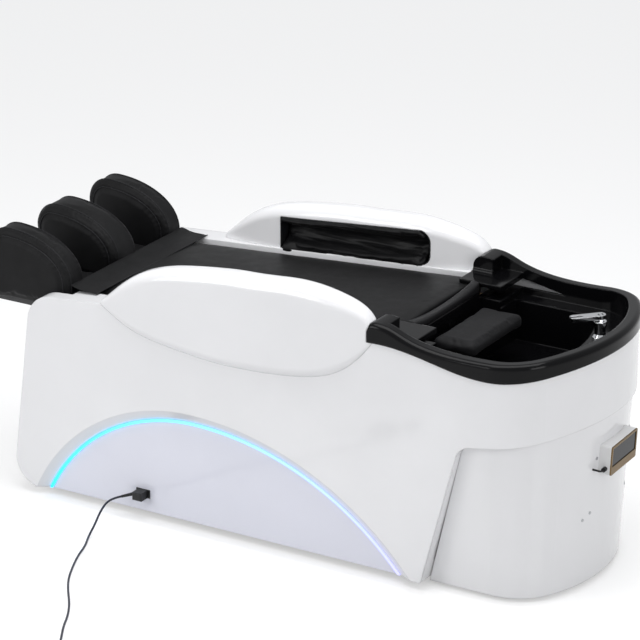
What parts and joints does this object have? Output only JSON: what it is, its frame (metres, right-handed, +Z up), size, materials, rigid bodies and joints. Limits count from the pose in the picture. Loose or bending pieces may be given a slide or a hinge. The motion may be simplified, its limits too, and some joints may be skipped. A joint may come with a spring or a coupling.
{
  "type": "salon hair washing bed",
  "caption": "Electric shampoo and massage bed: white gloss body with lit side arches, black basin, mattress, arm sleeves and calf cushions that slide.",
  "frame": {"origin": "on the floor under the middle of the bed, without its mains cord", "axes": "+X along the bed to the head end, +Z up, a lying person's left arm on the -Y side"},
  "size_m": [2.0693, 1.8806, 0.8896],
  "materials": {
    "shell_white": "high gloss",
    "panel_tint": "gloss",
    "led_glow": "lit",
    "black_gloss": "high gloss",
    "black_leatherette": "matt, fine grain",
    "cushion_foam": "matt",
    "mattress_cover": "matt, fine grain",
    "dark_rubber": "matt",
    "cord_jacket": "satin",
    "black_plastic": "matt",
    "chrome_fittings": "polished",
    "stainless": "brushed",
    "frame_steel": "satin",
    "zinc_plate": "satin",
    "panel_white": "satin",
    "bezel_bronze": "brushed",
    "display_glass": "dark, glossy",
    "ply_board": "raw",
    "unit_casing": "satin"
  },
  "bodies": {
    "bed": {"body_shell": "shell_white", "arch_panel_left": "panel_tint", "arch_panel_right": "panel_tint", "led_strip_left": "led_glow", "led_strip_right": "led_glow", "head_cover": "shell_white", "cover_screws": "stainless", "basin": "black_gloss", "neck_collar": "dark_rubber", "head_rest_mount": "black_plastic", "drain_tailpipe": "black_plastic", "drain_hose": "dark_rubber", "mixer_body": "chrome_fittings", "shower_holder": "chrome_fittings", "water_pipe": "zinc_plate", "arm_cover_left": "shell_white", "arm_cover_right": "shell_white", "arm_channel_left": "black_plastic", "arm_channel_right": "black_plastic", "arm_sleeve_left": "black_leatherette", "arm_sleeve_right": "black_leatherette", "control_box": "panel_white", "control_bezel": "bezel_bronze", "control_display": "display_glass", "control_gland": "black_plastic", "control_lead": "black_plastic", "mattress_board": "ply_board", "mattress": "mattress_cover", "calf_slide_guides": "zinc_plate", "calf_actuator": "unit_casing", "base_frame": "frame_steel", "levelling_feet": "black_plastic", "service_tray": "zinc_plate", "air_pump": "unit_casing", "power_supply": "unit_casing", "water_heater": "unit_casing", "mains_inlet": "black_plastic", "mains_connector": "black_plastic", "mains_cord": "cord_jacket", "mains_cord_coil": "cord_jacket", "mains_plug": "black_plastic"},
    "calf_unit": {"calf_board": "frame_steel", "calf_fin_left": "black_leatherette", "calf_fin_middle": "black_leatherette", "calf_fin_right": "black_leatherette", "calf_pad_left": "black_leatherette", "calf_pad_right": "black_leatherette", "calf_flap": "black_leatherette", "calf_slide_rails": "frame_steel", "calf_actuator_rod": "stainless"},
    "head_rest": {"head_rest_plate": "black_plastic", "head_rest_pad": "cushion_foam"},
    "strainer": {"drain_strainer": "stainless"},
    "mixer_turning_part": {"mixer_cartridge": "chrome_fittings"},
    "mixer_lever": {"mixer_lever": "chrome_fittings"},
    "shower": {"hand_shower": "chrome_fittings", "shower_hose": "stainless"}
  },
  "joints": [
    {"name": "calf_unit_slide", "type": "slide", "parent": "bed", "child": "calf_unit", "axis": [-1, 0, 0], "range_m": [0, 0.15]},
    {"name": "head_rest_tilt", "type": "hinge", "parent": "bed", "child": "head_rest", "pos_m": [0.46129, 0, 0.668], "axis": [0, -1, 0], "range_deg": [0, 25]},
    {"name": "strainer_lift", "type": "slide", "parent": "bed", "child": "strainer", "axis": [0, 0, 1], "range_m": [0, 0.04]},
    {"name": "mixer_turn", "type": "hinge", "parent": "bed", "child": "mixer_turning_part", "pos_m": [0.88729, 0.12, 0.744], "axis": [0, 0, 1], "range_deg": [-50, 50]},
    {"name": "mixer_lift", "type": "hinge", "parent": "mixer_turning_part", "child": "mixer_lever", "pos_m": [0.88729, 0.12, 0.7738], "axis": [-0.7314, 0.682, 0], "range_deg": [0, 25]},
    {"name": "shower_lift", "type": "slide", "parent": "bed", "child": "shower", "axis": [0, 0, 1], "range_m": [0, 0.15], "deforming": ["shower_hose"]}
  ]
}
